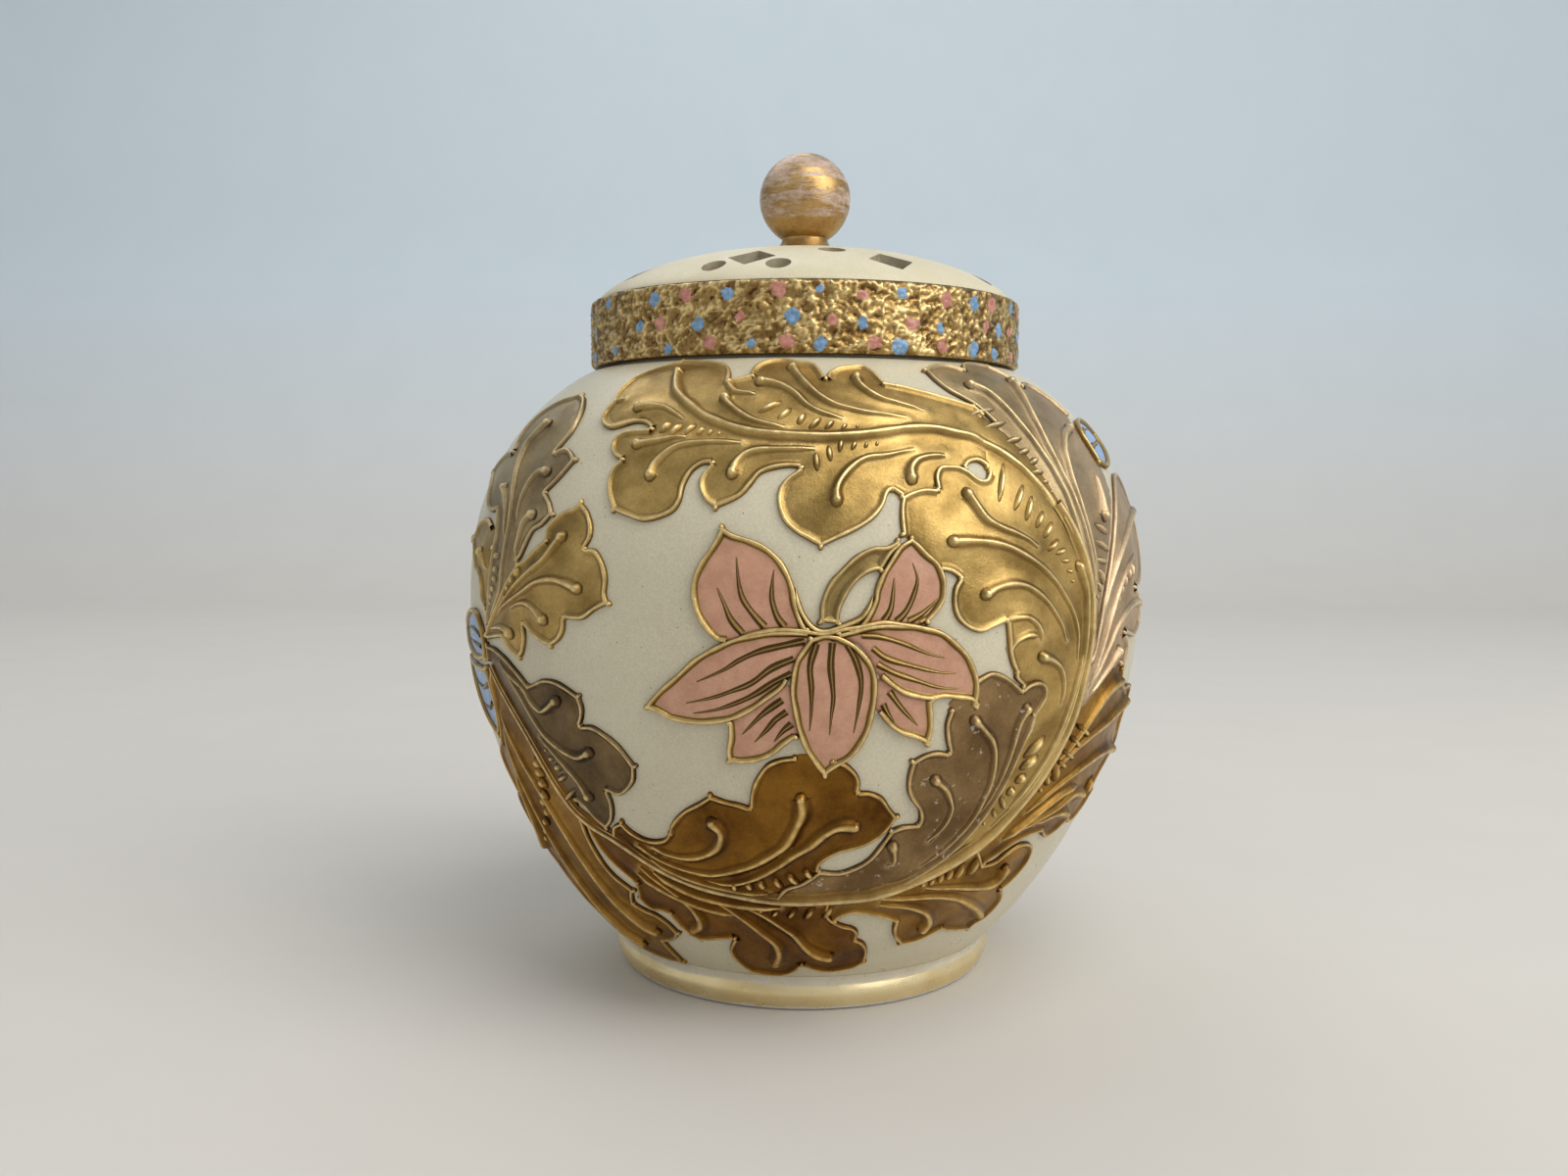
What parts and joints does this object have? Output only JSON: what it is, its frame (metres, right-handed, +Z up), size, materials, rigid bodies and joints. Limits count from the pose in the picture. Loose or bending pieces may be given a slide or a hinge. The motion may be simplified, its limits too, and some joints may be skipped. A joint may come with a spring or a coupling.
{
  "type": "lidded vase",
  "caption": "Round lidded jar with a pierced cap lid, ball knob, gilt band and foot, and raised leaf and lily ornament.",
  "frame": {"origin": "centre of the foot on the table", "axes": "+Z up, -Y towards the viewer of the flowered front"},
  "size_m": [0.1918, 0.195, 0.2337],
  "materials": {
    "ivory_glaze": "glossy ivory glaze with fine specks",
    "bright_gilding": "bright worn gilding over the glaze",
    "brown_gilding": "brown worn gilding over the glaze",
    "bronze_gilding": "grey bronze lustre over the glaze",
    "pale_gilding": "pale worn gilding over the glaze",
    "rough_gilding": "rough textured gilding",
    "knob_gilding": "gilding worn in streaks",
    "pink_glaze": "pink enamel",
    "blue_glaze": "blue enamel"
  },
  "bodies": {
    "jar": {"jar_body": "ivory_glaze", "jar_shoulder": "ivory_glaze", "foot_ring": "rough_gilding", "front_petal_centre": "pink_glaze", "front_petal_left": "pink_glaze", "front_petal_right": "pink_glaze", "front_petal_upper_left": "pink_glaze", "front_petal_upper_right": "pink_glaze", "front_petal_lower_left": "pink_glaze", "front_petal_lower_right": "pink_glaze", "front_blue_petal_left_upper": "blue_glaze", "front_blue_petal_left_lower": "blue_glaze", "front_blue_petal_right": "blue_glaze", "front_flower_stem": "bronze_gilding", "front_scroll_stem": "brown_gilding", "front_left_gold_leaf": "bright_gilding", "front_left_bronze_leaf": "bronze_gilding", "front_left_grey_leaf": "bronze_gilding", "front_left_small_leaf": "bright_gilding", "front_left_outer_leaf": "brown_gilding", "front_bronze_leaf": "bronze_gilding", "front_lower_inner_leaf": "brown_gilding", "front_lower_left_leaf": "brown_gilding", "front_lower_right_leaf": "brown_gilding", "front_scroll_leaf": "bright_gilding", "front_top_leaf": "bright_gilding", "front_right_upper_leaf": "bronze_gilding", "front_right_middle_leaf": "pale_gilding", "front_right_lower_leaf": "brown_gilding", "back_petal_centre": "pink_glaze", "back_petal_left": "pink_glaze", "back_petal_right": "pink_glaze", "back_petal_upper_left": "pink_glaze", "back_petal_upper_right": "pink_glaze", "back_petal_lower_left": "pink_glaze", "back_petal_lower_right": "pink_glaze", "back_blue_petal_left_upper": "blue_glaze", "back_blue_petal_left_lower": "blue_glaze", "back_blue_petal_right": "blue_glaze", "back_flower_stem": "bronze_gilding", "back_scroll_stem": "brown_gilding", "back_left_gold_leaf": "bright_gilding", "back_left_bronze_leaf": "bronze_gilding", "back_left_grey_leaf": "bronze_gilding", "back_left_small_leaf": "bright_gilding", "back_left_outer_leaf": "brown_gilding", "back_bronze_leaf": "bronze_gilding", "back_lower_inner_leaf": "brown_gilding", "back_lower_left_leaf": "brown_gilding", "back_lower_right_leaf": "brown_gilding", "back_scroll_leaf": "bright_gilding", "back_top_leaf": "bright_gilding", "back_right_upper_leaf": "bronze_gilding", "back_right_middle_leaf": "pale_gilding", "back_right_lower_leaf": "brown_gilding"},
    "lid": {"lid_dome": "ivory_glaze", "lid_band": "rough_gilding", "lid_flange": "ivory_glaze", "knob_stem": "knob_gilding", "knob_ball": "knob_gilding"}
  },
  "joints": [
    {"name": "lid_lift", "type": "slide", "parent": "jar", "child": "lid", "axis": [0, 0, 1], "range_m": [0, 0.08]}
  ]
}
